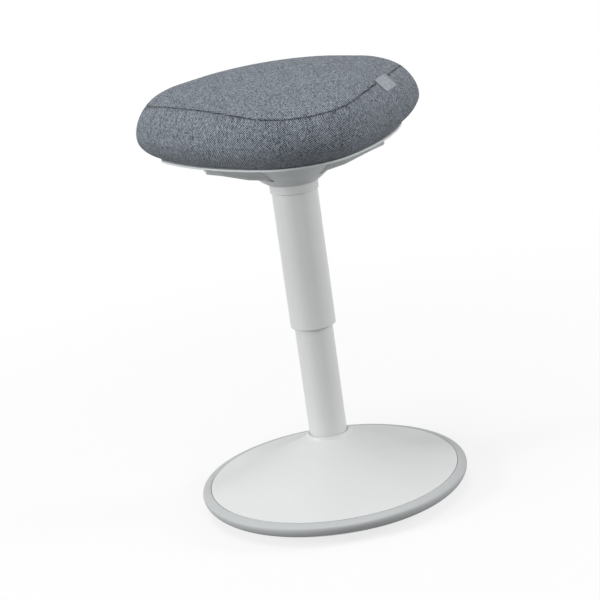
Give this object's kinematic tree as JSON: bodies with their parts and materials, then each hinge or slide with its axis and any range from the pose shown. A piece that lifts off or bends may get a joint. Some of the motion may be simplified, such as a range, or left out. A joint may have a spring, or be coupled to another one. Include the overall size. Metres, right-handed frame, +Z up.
{
  "type": "wobble stool",
  "caption": "Perching stool with a padded rounded-triangle seat, a telescoping gas column with two lever paddles, and a weighted disc base with a soft rocking edge.",
  "frame": {"origin": "on the floor, on the column's axis, at the centre of the flat foot pad", "axes": "+Z up along the column; -Y towards the rounded nose of the seat; +X towards the side with the blank tab"},
  "size_m": [0.3716, 0.356, 0.577],
  "materials": {
    "woven_cover": "fine woven, matt, grey-blue",
    "tab_cloth": "satin-woven tab, blank",
    "seat_foam": "cold-cured foam, open cell",
    "plywood": "unfinished plywood",
    "grey_plastic": "fine-textured moulding",
    "dark_plastic": "plain moulding",
    "white_plastic": "natural nylon",
    "pale_paint": "fine powder coat, satin",
    "pale_plastic": "smooth moulding, satin",
    "black_paint": "black powder coat",
    "ring_rubber": "light-grey elastomer with a fine tread",
    "black_rubber": "matt",
    "ballast_steel": "raw plate with mill scale",
    "zinc_steel": "zinc plated",
    "bright_steel": "polished",
    "alloy": "machined"
  },
  "bodies": {
    "base": {"base_pan": "dark_plastic", "pan_screws": "zinc_steel", "foot_pad": "black_rubber", "rocker_ring": "ring_rubber", "base_weight": "ballast_steel", "column_socket": "zinc_steel", "socket_bolts": "zinc_steel", "base_cover": "pale_plastic", "outer_tube": "pale_paint", "tube_end_disc": "zinc_steel", "guide_bush": "dark_plastic", "lower_race": "zinc_steel"},
    "ball_cage": {"ball_cage": "white_plastic", "bearing_balls": "bright_steel"},
    "rod": {"upper_race": "zinc_steel", "piston_rod": "bright_steel", "retaining_clip": "zinc_steel", "end_buffer": "black_rubber", "piston": "alloy", "piston_seal": "black_rubber"},
    "seat": {"pressure_tube": "bright_steel", "rod_guide": "white_plastic", "rod_seal": "black_rubber", "inner_cylinder": "zinc_steel", "valve_block": "alloy", "column_cover": "pale_paint", "cover_glide": "dark_plastic", "cover_collar": "pale_plastic", "hub_cup": "grey_plastic", "under_shell": "grey_plastic", "seat_board": "plywood", "cover_top_panel": "woven_cover", "cover_side_band": "woven_cover", "seat_foam": "seat_foam", "label_tab": "tab_cloth", "seat_bracket": "black_paint", "plate_bolts": "zinc_steel", "tee_nuts": "zinc_steel", "shell_screws": "zinc_steel", "lever_pin": "zinc_steel", "lever_spring": "bright_steel"},
    "lever": {"release_lever": "grey_plastic"},
    "button": {"release_button": "bright_steel"}
  },
  "joints": [
    {"name": "seat_swivel", "type": "hinge", "parent": "base", "child": "rod", "pos_m": [0, 0, 0.023], "axis": [0, 0, 1], "continuous": true},
    {"name": "cage_turn", "type": "hinge", "parent": "base", "child": "ball_cage", "pos_m": [0, 0, 0.0225], "axis": [0, 0, 1], "continuous": true},
    {"name": "column_lift", "type": "slide", "parent": "rod", "child": "seat", "axis": [0, 0, 1], "range_m": [0, 0.155]},
    {"name": "lever_lift", "type": "hinge", "parent": "seat", "child": "lever", "pos_m": [0, -0.028, 0.456], "axis": [-1, 0, 0], "range_deg": [0, 5], "stiffness_Nm_per_rad": 12, "springref_deg": -3.44},
    {"name": "button_press", "type": "slide", "parent": "seat", "child": "button", "axis": [0, 0, -1], "range_m": [0, 0.003]}
  ],
  "couplings": [
    {"joint": "cage_turn", "follows": "seat_swivel", "ratio": 0.5},
    {"joint": "button_press", "follows": "lever_lift", "m_per_rad": 0.034}
  ]
}
